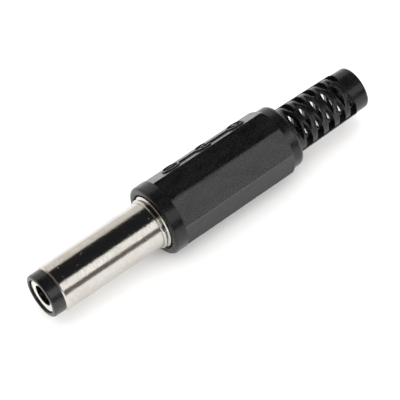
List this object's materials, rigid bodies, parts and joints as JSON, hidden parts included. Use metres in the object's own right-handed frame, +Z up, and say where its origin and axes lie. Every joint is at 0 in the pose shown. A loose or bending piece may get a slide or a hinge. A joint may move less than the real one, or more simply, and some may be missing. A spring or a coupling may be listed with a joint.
{
  "type": "dc barrel plug",
  "caption": "Straight DC power plug: nickel-plated barrel with a flanged centre contact, screw-on octagonal cover and flexible lattice strain relief for the cable.",
  "frame": {"origin": "bottom centre of the whole plug, as it lies on its cover", "axes": "+X along the plug's axis from the tip towards the cable end, +Z up, square to one flat of the octagonal grip, +Y completes the right-handed frame"},
  "size_m": [0.0432, 0.0082, 0.0083],
  "materials": {
    "barrel_nickel": "satin nickel plate over turned brass, with faint turning marks round the barrel",
    "insulator_black": "smooth black moulding",
    "contact_nickel": "bright nickel plate over turned brass",
    "body_nickel": "nickel plate over turned brass",
    "terminal_tin": "tinned brass sheet",
    "washer_fibre": "brown laminate",
    "cover_black": "black soft moulding with a fine grained skin and smoother flats"
  },
  "bodies": {
    "plug_core": {"barrel_sleeve": "barrel_nickel", "tip_insulator": "insulator_black", "centre_contact": "contact_nickel", "threaded_body": "body_nickel", "sleeve_lug": "terminal_tin", "rear_washer": "washer_fibre", "centre_lug": "terminal_tin"},
    "cover": {"cover": "cover_black"}
  },
  "joints": [
    {"name": "cover_unscrew", "type": "slide", "parent": "plug_core", "child": "cover", "axis": [1, 0, 0], "range_m": [0, 0.018]}
  ]
}
